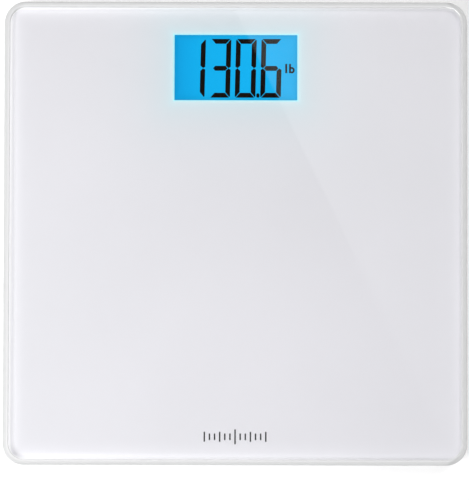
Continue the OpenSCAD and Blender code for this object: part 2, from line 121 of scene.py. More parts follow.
# ---------------------------------------------------------------- materials
class Tree:
    """A material's node tree, with short ways to add nodes."""

    def __init__(self, name):
        """An empty material with its output node."""
        self.material = bpy.data.materials.new(name)
        self.material.use_nodes = True
        self.tree = self.material.node_tree
        self.tree.nodes.clear()
        self.out = self.tree.nodes.new("ShaderNodeOutputMaterial")
        self.coord = self.tree.nodes.new("ShaderNodeTexCoord").outputs["Object"]

    def put(self, socket, value):
        """Link a socket to the input, or set its value; None leaves it alone."""
        if isinstance(value, bpy.types.NodeSocket):
            self.tree.links.new(value, socket)
        elif value is not None:
            if hasattr(socket.default_value, "__len__") and len(socket.default_value) == 4:
                value = (*value[:3], 1)
            socket.default_value = value

    def add(self, kind, inputs=None, **settings):
        """A shader node with its settings and inputs."""
        n = self.tree.nodes.new("ShaderNode" + kind)
        for key, value in settings.items():
            setattr(n, key, value)
        for key, value in (inputs or {}).items():
            self.put(n.inputs[key], value)
        return n

    def math(self, operation, a, b=None, c=None):
        """A number worked out from one to three others."""
        n = self.add("Math", {0: a}, operation=operation)
        if b is not None:
            self.put(n.inputs[1], b)
        if c is not None:
            self.put(n.inputs[2], c)
        return n.outputs[0]

    def noise(self, scale, detail=3.0, roughness=0.55, vector=None):
        """Cloudy noise from 0 to 1, in the object's own metres."""
        return self.add(
            "TexNoise",
            {
                "Vector": vector or self.coord,
                "Scale": scale,
                "Detail": detail,
                "Roughness": roughness,
            },
        ).outputs["Fac"]

    def ramp(self, fac, stops, smooth=False):
        """A colour that runs through the stops."""
        n = self.add("ValToRGB", {"Fac": fac})
        n.color_ramp.interpolation = "EASE" if smooth else "LINEAR"
        points = n.color_ramp.elements
        while len(points) < len(stops):
            points.new(0.5)
        for point, (at, colour) in zip(points, stops):
            point.position = at
            point.color = (*colour[:3], 1)
        return n.outputs["Color"]

    def mix(self, fac, a, b):
        """Blend of two colours."""
        n = self.add("Mix", data_type="RGBA")
        self.put(n.inputs[0], fac)
        self.put(n.inputs[6], a)
        self.put(n.inputs[7], b)
        return n.outputs[2]

    def scaled(self, scale):
        """Object coordinates stretched by a factor on each axis."""
        return self.add("Mapping", {"Vector": self.coord, "Scale": scale}).outputs[0]

    def bump(self, height, distance, strength=1.0):
        """Normal of a surface that rises by a distance where the height is 1."""
        inputs = {"Height": height, "Distance": distance, "Strength": strength}
        return self.add("Bump", inputs).outputs[0]

    def xyz(self, vector=None):
        """The three parts of a vector, by default the object coordinates."""
        return self.add("SeparateXYZ", {0: vector or self.coord}).outputs

    def principled(self, **inputs):
        """Principled shader, its inputs named with _ for a space."""
        return self.add("BsdfPrincipled", {k.replace("_", " "): v for k, v in inputs.items()})

    def finish(self, shader):
        """The finished material, with this shader at its output."""
        socket = shader if isinstance(shader, bpy.types.NodeSocket) else shader.outputs[0]
        self.tree.links.new(socket, self.out.inputs["Surface"])
        return self.material


def shade(colour, factor):
    """A colour made lighter or darker."""
    return tuple(min(c * factor, 1.0) for c in colour)


def moulded(name, colour, grain=1500, depth=0.06, rough=0.42, mottle=0.035):
    """Moulded plastic: fine spark texture, faint flow mottling and uneven gloss."""
    t = Tree(name)
    base = t.ramp(
        t.noise(22, 4, 0.6),
        [(0.3, shade(colour, 1 - mottle)), (0.7, shade(colour, 1 + mottle))],
    )
    fine = t.noise(grain, 4, 0.65)
    specks = t.add("TexVoronoi", {"Vector": t.coord, "Scale": grain * 0.6}).outputs["Distance"]
    gloss = t.math("MULTIPLY_ADD", t.noise(60, 3), 0.14, rough - 0.07)
    height = t.math("MULTIPLY_ADD", specks, 0.6, fine)
    return t.finish(
        t.principled(
            Base_Color=base, Roughness=gloss, Normal=t.bump(height, depth * MM, 0.5), IOR=1.49
        )
    )


def rubber(name, colour):
    """Soft rubber: dull, with dust in its pores."""
    t = Tree(name)
    dust = t.noise(420, 5, 0.7)
    base = t.ramp(dust, [(0.45, colour), (0.8, shade(colour, 2.2))])
    pores = t.noise(2600, 3, 0.6)
    return t.finish(
        t.principled(
            Base_Color=base,
            Roughness=t.math("MULTIPLY_ADD", dust, 0.2, 0.62),
            Normal=t.bump(pores, 0.05 * MM, 0.6),
            Specular_IOR_Level=0.3,
        )
    )


def plated(name, colour, rough=0.28, streak=(30, 900, 900)):
    """Plated or rolled metal with fine drawing streaks and a little staining."""
    t = Tree(name)
    lines = t.noise(1.0, 3, 0.6, t.scaled(streak))
    stain = t.noise(90, 4, 0.6)
    base = t.ramp(stain, [(0.3, shade(colour, 0.86)), (0.75, shade(colour, 1.05))])
    return t.finish(
        t.principled(
            Base_Color=base,
            Metallic=1.0,
            Roughness=t.math("MULTIPLY_ADD", lines, 0.18, rough - 0.09),
            Normal=t.bump(lines, 0.01 * MM, 0.5),
        )
    )


def rectangle_distance(t, centre, half_w, half_l):
    """How far a point lies outside a rectangle, and how deep inside it, in metres."""
    x, y, _ = t.xyz()
    dx = t.math("SUBTRACT", t.math("ABSOLUTE", t.math("SUBTRACT", x, centre[0])), half_w)
    dy = t.math("SUBTRACT", t.math("ABSOLUTE", t.math("SUBTRACT", y, centre[1])), half_l)
    ox, oy = t.math("MAXIMUM", dx, 0.0), t.math("MAXIMUM", dy, 0.0)
    outside = t.math(
        "SQRT", t.math("ADD", t.math("MULTIPLY", ox, ox), t.math("MULTIPLY", oy, oy))
    )
    inside = t.math("MULTIPLY", t.math("MAXIMUM", dx, dy), -1.0)
    return outside, inside


PRINT_COLOUR = (0.862, 0.852, 0.893)
# Painted light on the enamel: the display's spill colour and its glow round the window, and the
# glow along the rim.
PAINTED_SPILL_COLOUR = (0.71, 0.905, 0.95)
GLOW_COLOUR = (0.22, 0.86, 0.95)
RIM_GLOW = 1.05
RIM_REACH = 2.4 * MM
NEAR_GLOW, NEAR_REACH = 0.13, 2.2 * MM
FAR_GLOW, FAR_REACH = 0.035, 14 * MM
RIM_EVEN, RIM_LEAN = 1.05, 0.85
MIRROR = 0.043


def decay(t, distance, reach):
    """Falls from 1 by a factor of e over each reach."""
    return t.math("POWER", math.e, t.math("MULTIPLY", distance, -1 / reach))


def enamel():
    """Fired white enamel behind the glass, with painted light: a glow and a cyan cast round the
    window, and a glow along the rim, more on the left.
    """
    t = Tree("white_enamel")
    base = t.ramp(
        t.noise(9, 3, 0.5),
        [(0.3, shade(PRINT_COLOUR, 0.988)), (0.7, shade(PRINT_COLOUR, 1.012))],
    )
    # Painted glow of the display's light spilling into the enamel round the window.
    outside, _ = rectangle_distance(t, LCD_MID, WINDOW_W / 2, WINDOW_L / 2)
    near, far = decay(t, outside, NEAR_REACH), decay(t, outside, FAR_REACH)
    glow = t.math("MULTIPLY_ADD", near, NEAR_GLOW, t.math("MULTIPLY", far, FAR_GLOW))
    # Painted glow along the rim, for light coming in through the glass edge, stronger on the left
    # towards the key light.
    _, inland = rectangle_distance(t, (0, 0), HALF_W, HALF_L)
    leftward = t.math("MULTIPLY_ADD", t.xyz()[0], -RIM_LEAN / HALF_W, RIM_EVEN)
    rim = t.math("MULTIPLY", decay(t, inland, RIM_REACH), leftward)
    share = t.math("DIVIDE", rim, t.math("ADD", t.math("ADD", rim, glow), 0.001))
    lit = t.mix(share, GLOW_COLOUR, (1, 1, 1))
    # Painted cyan cast of the display's light on the enamel near the window.
    spill_cast = t.mix(t.math("MULTIPLY", far, 0.55), base, shade(PAINTED_SPILL_COLOUR, 0.9))
    grain = t.noise(1800, 3, 0.6)
    return t.finish(
        t.principled(
            Base_Color=spill_cast,
            Roughness=t.math("MULTIPLY_ADD", grain, 0.12, 0.55),
            Normal=t.bump(grain, 0.01 * MM, 0.3),
            Specular_IOR_Level=0.0,
            Emission_Color=lit,
            Emission_Strength=t.math("MULTIPLY_ADD", rim, RIM_GLOW, glow),
        )
    )


def clear_glass():
    """Polished face of the glass: it lets light through and mirrors a little of the room."""
    t = Tree("clear_glass")
    wave = t.noise(14, 2, 0.4)
    normal = t.bump(wave, 0.02 * MM, 0.25)
    tint = t.ramp(t.noise(5, 2), [(0.3, (0.983, 0.985, 0.984)), (0.7, (0.987, 0.988, 0.988))])
    smear = t.ramp(
        t.noise(38, 5, 0.7), [(0.5, (0.008,) * 3), (0.85, (0.03,) * 3)], smooth=True
    )
    sheen = t.add("BsdfGlossy", {"Color": (1, 1, 1), "Roughness": smear, "Normal": normal})
    through = t.add("BsdfTransparent", {"Color": tint})
    facing = t.add("LayerWeight", {"Blend": 0.5, "Normal": normal}).outputs["Facing"]
    mirror = t.math("MULTIPLY_ADD", t.math("POWER", facing, 5.0), 1 - MIRROR, MIRROR)
    mixed = t.add("MixShader", {0: mirror, 1: through.outputs[0], 2: sheen.outputs[0]})
    return t.finish(mixed)


def ground_edge():
    """Ground rim with painted shade and reflection, paler towards its top, with faint wheel lines,
    a painted darker line on the right and a faint painted glow.
    """
    t = Tree("ground_edge")
    normal = t.add("NewGeometry").outputs["Normal"]
    facing = t.math("ABSOLUTE", t.xyz(normal)[2])
    # Painted shade and reflection: the rim's colour set by how far it faces up, paler towards its
    # top.
    body = t.ramp(
        facing,
        [
            (0.0, (0.62, 0.625, 0.625)),
            (0.50, (0.70, 0.705, 0.705)),
            (0.80, (0.68, 0.682, 0.685)),
            (0.96, (0.70, 0.70, 0.705)),
            (0.995, (0.76, 0.758, 0.768)),
        ],
    )
    lines = t.noise(1.0, 3, 0.6, t.scaled((60, 60, 2600)))
    depth = t.noise(70, 3, 0.5)
    base = t.mix(t.math("MULTIPLY", depth, 0.06), body, (0.80, 0.84, 0.84))
    # Painted shade: a darker line on the slope that faces right, away from the key light.
    turned = t.math("MAXIMUM", t.xyz(normal)[0], 0.0)
    none, some = (0,) * 3, (0.3,) * 3
    line = t.ramp(turned, [(0.03, none), (0.12, some), (0.2, some), (0.4, none)])
    base = t.mix(line, base, (0.34, 0.345, 0.345))
    return t.finish(
        t.principled(
            Base_Color=base,
            Roughness=t.math("MULTIPLY_ADD", lines, 0.16, 0.26),
            Normal=t.bump(lines, 0.01 * MM, 0.4),
            IOR=1.52,
            Specular_IOR_Level=0.12,
            Alpha=0.8,
            # Painted glow: the rim gives off a little light in its own colour.
            Emission_Color=base,
            Emission_Strength=0.09,
        )
    )


def backlit_panel():
    """Backlit blue field: deeper at its borders, with the guide's dots barely showing."""
    t = Tree("backlit_panel")
    _, inside = rectangle_distance(t, LCD_MID, ACTIVE_W / 2, ACTIVE_L / 2)
    rim = decay(t, inside, 2.0 * MM)
    x = t.xyz()[0]
    along = t.math("MULTIPLY_ADD", x, 1 / ACTIVE_W, 0.5)
    field = t.ramp(
        along,
        [
            (0.0, (0.004, 0.385, 0.80)),
            (0.22, (0.005, 0.465, 0.90)),
            (0.62, (0.006, 0.485, 0.935)),
            (1.0, (0.008, 0.475, 0.90)),
        ],
    )
    dots = t.add("TexVoronoi", {"Vector": t.coord, "Scale": 900.0}).outputs["Distance"]
    cloud = t.noise(55, 3, 0.5)
    level = t.math("MULTIPLY_ADD", dots, 0.03, t.math("MULTIPLY_ADD", cloud, 0.07, 0.94))
    level = t.math("SUBTRACT", level, t.math("MULTIPLY", rim, 0.22))
    return t.finish(
        t.principled(
            Base_Color=(0.004, 0.03, 0.08),
            Roughness=t.math("MULTIPLY_ADD", dots, 0.1, 0.6),
            Specular_IOR_Level=0.0,
            Emission_Color=field,
            Emission_Strength=level,
        )
    )


def lit_border():
    """Edge of the light guide, showing as a pale bright line round the blue."""
    t = Tree("lit_border")
    cloud = t.noise(160, 3, 0.5)
    tone = t.ramp(cloud, [(0.3, (0.35, 0.84, 0.90)), (0.7, (0.46, 0.90, 0.93))])
    return t.finish(
        t.principled(
            Base_Color=(0.3, 0.5, 0.52),
            Roughness=t.math("MULTIPLY_ADD", cloud, 0.2, 0.6),
            Specular_IOR_Level=0.0,
            Emission_Color=tone,
            Emission_Strength=0.62,
        )
    )


def segment_ink():
    """Dark liquid-crystal segments with a faint warm cast."""
    t = Tree("segment_ink")
    cloud = t.noise(240, 4, 0.6)
    tone = t.ramp(cloud, [(0.3, (0.007, 0.005, 0.004)), (0.75, (0.014, 0.010, 0.008))])
    return t.finish(
        t.principled(
            Base_Color=tone,
            Roughness=t.math("MULTIPLY_ADD", cloud, 0.2, 0.6),
            Specular_IOR_Level=0.0,
        )
    )


def printed(name, colour):
    """Screen-printed ink: flat, with a slight grain at its edges."""
    t = Tree(name)
    grain = t.noise(2200, 4, 0.7)
    tone = t.ramp(grain, [(0.3, shade(colour, 0.8)), (0.8, shade(colour, 1.5))])
    return t.finish(
        t.principled(
            Base_Color=tone,
            Roughness=t.math("MULTIPLY_ADD", grain, 0.2, 0.45),
            Normal=t.bump(grain, 0.01 * MM, 0.4),
        )
    )


def board():
    """Solder mask over copper traces, in a regular grid of tracks."""
    t = Tree("board_laminate")
    x, y, _ = t.xyz()
    track = t.math("FRACT", t.math("MULTIPLY", t.math("ADD", x, t.noise(60, 1)), 420))
    rows = t.math("FRACT", t.math("MULTIPLY", y, 390))
    in_track, in_row = t.math("GREATER_THAN", track, 0.6), t.math("GREATER_THAN", rows, 0.35)
    copper = t.math("MULTIPLY", in_track, in_row)
    tone = t.mix(t.math("MULTIPLY", copper, 0.5), (0.012, 0.10, 0.035), (0.05, 0.24, 0.09))
    return t.finish(
        t.principled(
            Base_Color=tone,
            Roughness=t.math("MULTIPLY_ADD", t.noise(300), 0.2, 0.25),
            Normal=t.bump(copper, 0.03 * MM, 0.5),
            Coat_Weight=0.4,
        )
    )


def cell_jacket():
    """Printed metal jacket: dark green with a copper band, lightly scuffed."""
    t = Tree("battery_label")
    x = t.xyz()[0]
    at = t.math("MULTIPLY_ADD", t.math("ABSOLUTE", x), 1 / (24 * MM), 0.0)
    band = t.ramp(
        at,
        [
            (0.0, (0.02, 0.09, 0.07)),
            (0.60, (0.02, 0.10, 0.08)),
            (0.62, (0.42, 0.20, 0.08)),
            (1.0, (0.50, 0.25, 0.10)),
        ],
    )
    scuff = t.noise(260, 5, 0.7)
    return t.finish(
        t.principled(
            Base_Color=t.mix(t.math("MULTIPLY", scuff, 0.15), band, (0.4, 0.4, 0.38)),
            Metallic=0.6,
            Roughness=t.math("MULTIPLY_ADD", scuff, 0.25, 0.2),
            Normal=t.bump(scuff, 0.01 * MM, 0.3),
        )
    )


def foam(name, colour):
    """Closed-cell foam, matt, with its cells showing."""
    t = Tree(name)
    cells = t.add("TexVoronoi", {"Vector": t.coord, "Scale": 2600.0}).outputs["Distance"]
    tone = t.ramp(cells, [(0.0, shade(colour, 0.8)), (0.6, colour)])
    return t.finish(
        t.principled(Base_Color=tone, Roughness=0.9, Normal=t.bump(cells, 0.08 * MM, 0.7))
    )


def guide_acrylic():
    """Clear light guide with printed dots, glowing softly."""
    t = Tree("light_guide")
    dots = t.add("TexVoronoi", {"Vector": t.coord, "Scale": 700.0}).outputs["Distance"]
    tone = t.ramp(dots, [(0.1, (0.75, 0.90, 0.95)), (0.35, (0.25, 0.62, 0.85))])
    return t.finish(
        t.principled(
            Base_Color=tone,
            Roughness=t.math("MULTIPLY_ADD", dots, 0.1, 0.08),
            Normal=t.bump(dots, 0.02 * MM, 0.4),
            Emission_Color=tone,
            Emission_Strength=0.25,
        )
    )


def sheath(name, colour):
    """Extruded wire sheath, with a faint grain."""
    t = Tree(name)
    grain = t.noise(900, 4, 0.6)
    tone = t.ramp(grain, [(0.3, shade(colour, 0.85)), (0.8, shade(colour, 1.12))])
    return t.finish(
        t.principled(
            Base_Color=tone,
            Roughness=t.math("MULTIPLY_ADD", grain, 0.2, 0.28),
            Normal=t.bump(grain, 0.02 * MM, 0.4),
            Coat_Weight=0.2,
        )
    )


SHELL = moulded("white_shell", (0.80, 0.80, 0.785), grain=1700)
CLEAR = clear_glass()
MATERIALS = {
    "tempered_glass": CLEAR,
    "white_print": enamel(),
    "black_ink": printed("black_ink", (0.012, 0.012, 0.014)),
    "white_shell": SHELL,
    "foam_tape": foam("foam_tape", (0.62, 0.59, 0.50)),
    "lcd_glass": CLEAR,
    "lcd_blue": backlit_panel(),
    "light_guide": guide_acrylic(),
    "led_body": moulded("led_body", (0.86, 0.82, 0.50), grain=2600, rough=0.3),
    "grey_rubber": rubber("grey_rubber", (0.07, 0.07, 0.075)),
    "board_laminate": board(),
    "black_resin": moulded("black_resin", (0.02, 0.02, 0.022), grain=2200, rough=0.5),
    "nickel_steel": plated("nickel_steel", (0.62, 0.61, 0.58)),
    "blue_sleeve": moulded("blue_sleeve", (0.03, 0.04, 0.12), grain=2600, rough=0.25),
    "red_plastic": moulded("red_plastic", (0.42, 0.05, 0.04), grain=2600, rough=0.4),
    "grey_plastic": moulded("grey_plastic", (0.16, 0.17, 0.19), grain=2000, rough=0.45),
    "battery_label": cell_jacket(),
    "gauge_resin": moulded("gauge_resin", (0.80, 0.76, 0.62), grain=900, depth=0.12, rough=0.35),
    "cell_steel": plated("cell_steel", (0.55, 0.56, 0.57), 0.32, (700, 60, 700)),
    "black_rubber": rubber("black_rubber", (0.022, 0.022, 0.024)),
}
MATERIALS["wire_insulation"] = sheath("wire_red", (0.55, 0.03, 0.025))
WIRE_BLACK = sheath("wire_black", (0.02, 0.02, 0.022))
WIRE_WHITE = sheath("wire_white", (0.75, 0.74, 0.70))

for part in frame["record"]["subparts"]:
    mesh = NODES[part["node"]].data
    mesh.materials.clear()
    mesh.materials.append(MATERIALS[part["material_slot"]])


# ---------------------------------------------------------------- mesh code
def new_object(name, bm, materials, smooth=True):
    """A new object from a bmesh."""
    bmesh.ops.recalc_face_normals(bm, faces=bm.faces)
    mesh = bpy.data.meshes.new(name)
    bm.to_mesh(mesh)
    bm.free()
    for m in materials:
        mesh.materials.append(m)
    if smooth:
        mesh.shade_smooth()
    obj = bpy.data.objects.new(name, mesh)
    bpy.context.scene.collection.objects.link(obj)
    return obj


def add_piece(name, bm, materials, body=ROOT, smooth=True):
    """A new piece from a bmesh, riding on a body."""
    obj = new_object(name, bm, materials, smooth)
    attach(obj, body)
    return obj


def rounded_outline(half_w, half_l, radius, corner_steps=16, side_steps=10):
    """Points round a rounded rectangle, the same number whatever its size."""
    points = []
    centres = [(1, 1, 0), (-1, 1, 90), (-1, -1, 180), (1, -1, 270)]
    for i, (sx, sy, start) in enumerate(centres):
        cx, cy = sx * (half_w - radius), sy * (half_l - radius)
        for k in range(corner_steps + 1):
            a = math.radians(start + 90 * k / corner_steps)
            points.append(Vector((cx + radius * math.cos(a), cy + radius * math.sin(a))))
        nx, ny, nstart = centres[(i + 1) % 4]
        a = math.radians(nstart)
        end = Vector(
            (
                nx * (half_w - radius) + radius * math.cos(a),
                ny * (half_l - radius) + radius * math.sin(a),
            )
        )
        begin = points[-1].copy()
        for k in range(1, side_steps):
            points.append(begin.lerp(end, k / side_steps))
    return points


def bridge(bm, ring_a, ring_b, material=0):
    """A band of faces between two closed rings of vertices."""
    n = len(ring_a)
    for i in range(n):
        face = bm.faces.new((ring_a[i], ring_a[(i + 1) % n], ring_b[(i + 1) % n], ring_b[i]))
        face.material_index = material


EDGE_REACH = 3.2 * MM
EDGE_STEPS = 14
FACE_INSET = 1.2 * MM
PRINT_GAP = 0.03 * MM


def platform_glass():
    """Glass sheet with a half-round polished rim, clear on its flat faces."""
    bm = bmesh.new()
    bottom = GLASS_LO.z + PRINT_GAP
    mid_z, half_t = (bottom + GLASS_HI.z) / 2, (GLASS_HI.z - bottom) / 2
    rings = []
    for i in range(EDGE_STEPS + 1):
        a = math.pi / 2 - math.pi * i / EDGE_STEPS
        inset = EDGE_REACH * (1 - math.cos(a))
        z = mid_z + half_t * math.sin(a)
        outline = rounded_outline(HALF_W - inset, HALF_L - inset, CORNER_R - inset)
        rings.append([bm.verts.new((p.x, p.y, z)) for p in outline])
    for a, b in zip(rings, rings[1:]):
        bridge(bm, a, b, 1)
    for ring, z in ((rings[0], GLASS_HI.z), (rings[-1], bottom)):
        inset = EDGE_REACH + FACE_INSET
        outline = rounded_outline(HALF_W - inset, HALF_L - inset, CORNER_R - inset)
        inner = [bm.verts.new((p.x, p.y, z)) for p in outline]
        bridge(bm, ring, inner)
        bm.faces.new(inner)
    obj = add_piece("platform_glass", bm, [CLEAR, ground_edge()])
    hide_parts("glass_platform")


platform_glass()


def prism(bm, outline, z0, z1):
    """Upright solid over an outline."""
    base, top = ([bm.verts.new((p.x, p.y, z)) for p in outline] for z in (z0, z1))
    bridge(bm, base, top)
    bm.faces.new(base[::-1])
    bm.faces.new(top)


def prism_ring(bm, outline, z0, z1):
    """Solid over an outline that folds back on itself, built as a row of short blocks."""
    n = len(outline)
    for i in range(n // 2 - 1):
        quad = [outline[i], outline[i + 1], outline[n - 2 - i], outline[n - 1 - i]]
        prism(bm, quad, z0, z1)


# ---------------------------------------------------------------- display
PANEL_Z = LCD_TOP + 0.02 * MM
DIGIT_H = 35.7 * MM
DIGIT_W = 12.55 * MM
STROKE = 2.95 * MM
GAP = 0.42 * MM
SLANT = math.tan(math.radians(1.3))
DIGIT_PITCH = 15.42 * MM
DIGIT_DROP = -0.42 * MM
LAST_DIGIT_X = 21.37 * MM
SEGMENTS = {"1": "bc", "3": "abgcd", "0": "abcdef", "6": "afgedc"}
READING = "1306"
DOT_HALF_W, DOT_HALF_L, DOT_R = 0.98 * MM, 1.35 * MM, 0.9 * MM
DOT_X = 13.35 * MM
UNIT_Y = -0.5 * MM
UNIT_HALF_H = 2.8 * MM
UNIT_STEM = 0.6 * MM
UNIT_L_X, UNIT_B_X = 30.5 * MM, 32.8 * MM
BOWL_X, BOWL_Y = 33.8 * MM, -1.5 * MM
BOWL_OUTER = (1.85 * MM, 1.95 * MM)
BOWL_INNER = (0.72 * MM, 0.82 * MM)
BOWL_TURN = math.radians(145)
BOWL_STEPS = 16
INK_T = 0.04 * MM
BORDER_OVER = 0.9 * MM
BORDER_LIP = 0.05 * MM
BORDER_SUNK = 0.02 * MM
FIELD_T = 0.05 * MM


def flipped(points, sx, sy):
    """Points mirrored in x, in y or in both, still running the same way round."""
    mirrored = [(sx * x, sy * y) for x, y in points]
    return mirrored if sx == sy else mirrored[::-1]


def segment_outlines():
    """Outlines of the seven segments about the digit's middle, mitred at their ends."""
    w, h, s, g = DIGIT_W / 2, DIGIT_H / 2, STROKE, GAP / 2
    n = s / 2
    cut = s * 0.34
    end = cut * 0.4
    top = [(-w + g + end, h), (w - g - end, h), (w - s - g, h - s), (-w + s + g, h - s)]
    middle_bar = [
        (-w + n + 2 * g, 0),
        (-w + s + g, n),
        (w - s - g, n),
        (w - n - 2 * g, 0),
        (w - s - g, -n),
        (-w + s + g, -n),
    ]
    upper = [
        (w, h - 2 * g - end),
        (w - cut * 0.5, h - 2 * g),
        (w - s, h - s - 2 * g),
        (w - s, n + g * 0.5),
        (w - n * 0.9, g * 0.3),
        (w, n * 0.62),
    ]
    return {
        "a": top,
        "b": upper,
        "c": flipped(upper, 1, -1),
        "d": flipped(top, 1, -1),
        "e": flipped(upper, -1, -1),
        "f": flipped(upper, -1, 1),
        "g": middle_bar,
    }


def place(points, x, y, slant=SLANT):
    """Points moved to a spot on the display, leaning to the right as they rise."""
    cx, cy = LCD_MID.x + x, LCD_MID.y + y
    return [Vector((cx + px + slant * py, cy + py)) for px, py in points]


def arc_points(cx, cy, rx, ry, start, end, steps):
    """Points along part of an ellipse."""
    step = (end - start) / steps
    return [
        (cx + rx * math.cos(start + i * step), cy + ry * math.sin(start + i * step))
        for i in range(steps + 1)
    ]


def lcd_field():
    """Lit blue field of the display."""
    bm = bmesh.new()
    outline = rounded_outline(ACTIVE_W / 2, ACTIVE_L / 2, 0.3 * MM, 4, 6)
    outline = [Vector((LCD_MID.x + p.x, LCD_MID.y + p.y)) for p in outline]
    prism(bm, outline, PANEL_Z - FIELD_T, PANEL_Z)
    obj = add_piece("lcd_field", bm, [MATERIALS["lcd_blue"]], smooth=False)


def lcd_border():
    """Pale lit frame round the field, reaching a little under the print."""
    bm = bmesh.new()
    rings = []
    for half_w, half_l, z in (
        (ACTIVE_W / 2, ACTIVE_L / 2, PANEL_Z - BORDER_SUNK),
        (ACTIVE_W / 2 + BORDER_LIP, ACTIVE_L / 2 + BORDER_LIP, PANEL_Z + BORDER_LIP),
        (WINDOW_W / 2 + BORDER_OVER, WINDOW_L / 2 + BORDER_OVER, PANEL_Z + BORDER_LIP),
        (WINDOW_W / 2 + BORDER_OVER, WINDOW_L / 2 + BORDER_OVER, PANEL_Z - BORDER_SUNK),
    ):
        outline = rounded_outline(half_w, half_l, 0.4 * MM, 4, 6)
        rings.append([bm.verts.new((LCD_MID.x + p.x, LCD_MID.y + p.y, z)) for p in outline])
    for a, b in zip(rings, rings[1:] + rings[:1]):
        bridge(bm, a, b)
    obj = add_piece("lcd_border", bm, [lit_border()], smooth=False)


def unit_sign(bm, top):
    """The two letters of the unit: two stems and an open bowl."""
    h, w = UNIT_HALF_H, UNIT_STEM
    stem = [(-w, -h), (w, -h), (w, h), (-w, h)]
    for x in (UNIT_L_X, UNIT_B_X):
        prism(bm, place(stem, x, UNIT_Y, 0), PANEL_Z, top)
    outer = arc_points(BOWL_X, BOWL_Y, *BOWL_OUTER, BOWL_TURN, -BOWL_TURN, BOWL_STEPS)
    inner = arc_points(BOWL_X, BOWL_Y, *BOWL_INNER, -BOWL_TURN, BOWL_TURN, BOWL_STEPS)
    loop = [Vector((LCD_MID.x + px, LCD_MID.y + py)) for px, py in outer + inner]
    prism_ring(bm, loop, PANEL_Z, top)


def lcd_digits():
    """Dark segments of the reading, its point and the unit sign."""
    bm = bmesh.new()
    outlines = segment_outlines()
    top = PANEL_Z + INK_T
    for i, digit in enumerate(READING):
        x = LAST_DIGIT_X - (len(READING) - 1 - i) * DIGIT_PITCH
        for key in SEGMENTS[digit]:
            prism(bm, place(outlines[key], x, DIGIT_DROP), PANEL_Z, top)
    dot = [tuple(p) for p in rounded_outline(DOT_HALF_W, DOT_HALF_L, DOT_R, 5, 2)]
    prism(bm, place(dot, DOT_X, DIGIT_DROP - DIGIT_H / 2 + DOT_HALF_L, 0), PANEL_Z, top)
    unit_sign(bm, top)
    obj = add_piece("lcd_digits", bm, [segment_ink()], smooth=False)


lcd_field()
lcd_border()
lcd_digits()


# ---------------------------------------------------------------- wires
LEAD_R = 0.6 * MM
LEAD_PITCH = 1.3 * MM
LEAD_Z = low("back_print").z - LEAD_R
DROP_R = 1.8 * MM
TURN_R = 6 * MM
LANE_Y = 20.1 * MM
LEAD_START = 9 * MM
GAUGE_TOP = high("strain_gauges").z
BOARD_TOP = high("circuit_board").z
FOOT_X, FOOT_Y = middle("foot_pad_rear_right").xy
POST_X = low("wires_rear_right").x + LEAD_R
LAND_Y = high("wires_front_right").y - LEAD_R
DROP_Z = LEAD_Z - DROP_R
X, Y, Z = Vector((1, 0, 0)), Vector((0, 1, 0)), Vector((0, 0, 1))


def quarter(centre, start, end, radius, steps=8):
    """Quarter bend about a centre, from one direction to another."""
    centre = Vector(centre)
    angles = [math.pi / 2 * i / steps for i in range(steps + 1)]
    return [centre + (start * math.cos(a) + end * math.sin(a)) * radius for a in angles]


def rear_route(shift):
    """Straight in from a rear load cell to the board."""
    y, start = FOOT_Y + shift, FOOT_X - LEAD_START
    return [
        Vector((start, y, GAUGE_TOP)),
        *quarter((start - DROP_R, y, DROP_Z), X, Z, DROP_R),
        *quarter((POST_X + DROP_R, y, DROP_Z), Z, -X, DROP_R),
        Vector((POST_X, y, BOARD_TOP)),
    ]


def front_route(shift):
    """Back from a front load cell, across, and back again to the board."""
    x, start = FOOT_X + shift, -FOOT_Y + LEAD_START
    return [
        Vector((x, start, GAUGE_TOP)),
        *quarter((x, start + DROP_R, DROP_Z), -Y, Z, DROP_R),
        *quarter((FOOT_X - TURN_R, LANE_Y - TURN_R, LEAD_Z), X, Y, TURN_R + shift),
        *quarter((POST_X + TURN_R, LANE_Y + TURN_R, LEAD_Z), -Y, -X, TURN_R - shift),
        *quarter((POST_X + shift, LAND_Y - DROP_R, DROP_Z), Z, Y, DROP_R),
        Vector((POST_X + shift, LAND_Y, BOARD_TOP)),
    ]


def tube(bm, points, radius, material, sides=12):
    """Round tube along a path, closed at both ends."""
    rings = []
    side = None
    for i, p in enumerate(points):
        along = (points[min(i + 1, len(points) - 1)] - points[max(i - 1, 0)]).normalized()
        side = along.orthogonal() if side is None else side - along * side.dot(along)
        side.normalize()
        other = along.cross(side)
        angles = [2 * math.pi * k / sides for k in range(sides)]
        rings.append(
            [bm.verts.new(p + (side * math.cos(a) + other * math.sin(a)) * radius) for a in angles]
        )
    for a, b in zip(rings, rings[1:]):
        bridge(bm, a, b, material)
    for ring in (rings[0], rings[-1]):
        bm.faces.new(ring).material_index = material


def leads():
    """Three insulated wires to each load cell: red, black and white."""
    for end, route in (("front", front_route), ("rear", rear_route)):
        for side, sign in (("left", -1), ("right", 1)):
            bm = bmesh.new()
            for k in (-1, 0, 1):
                path = [Vector((sign * p.x, p.y, p.z)) for p in route(k * LEAD_PITCH)]
                tube(bm, path, LEAD_R, k + 1)
            sheaths = [MATERIALS["wire_insulation"], WIRE_BLACK, WIRE_WHITE]
            obj = add_piece(f"leads_{end}_{side}", bm, sheaths)
            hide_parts(f"wires_{end}_{side}")


leads()


# ---------------------------------------------------------------- load cells
CELL_LO, CELL_HI = low("load_cell_rear_right"), high("load_cell_rear_right")
CELL_HALF = (CELL_HI.x - CELL_LO.x) / 2
CELL_R = 3 * MM
TONGUE_HALF = 6 * MM
TONGUE_FRONT, TONGUE_ROOT = -9 * MM, 6 * MM
TONGUE_STEPS = 15
CELL_SLOT = 1.6 * MM


def cell_axes(end, sign):
    """Foot centre, and the cell's own across and along directions: along is towards its wires."""
    centre = Vector((sign * FOOT_X, FOOT_Y if end == "rear" else -FOOT_Y, 0))
    along = Y if end == "front" else -X * sign
    return centre, along.cross(Z), along


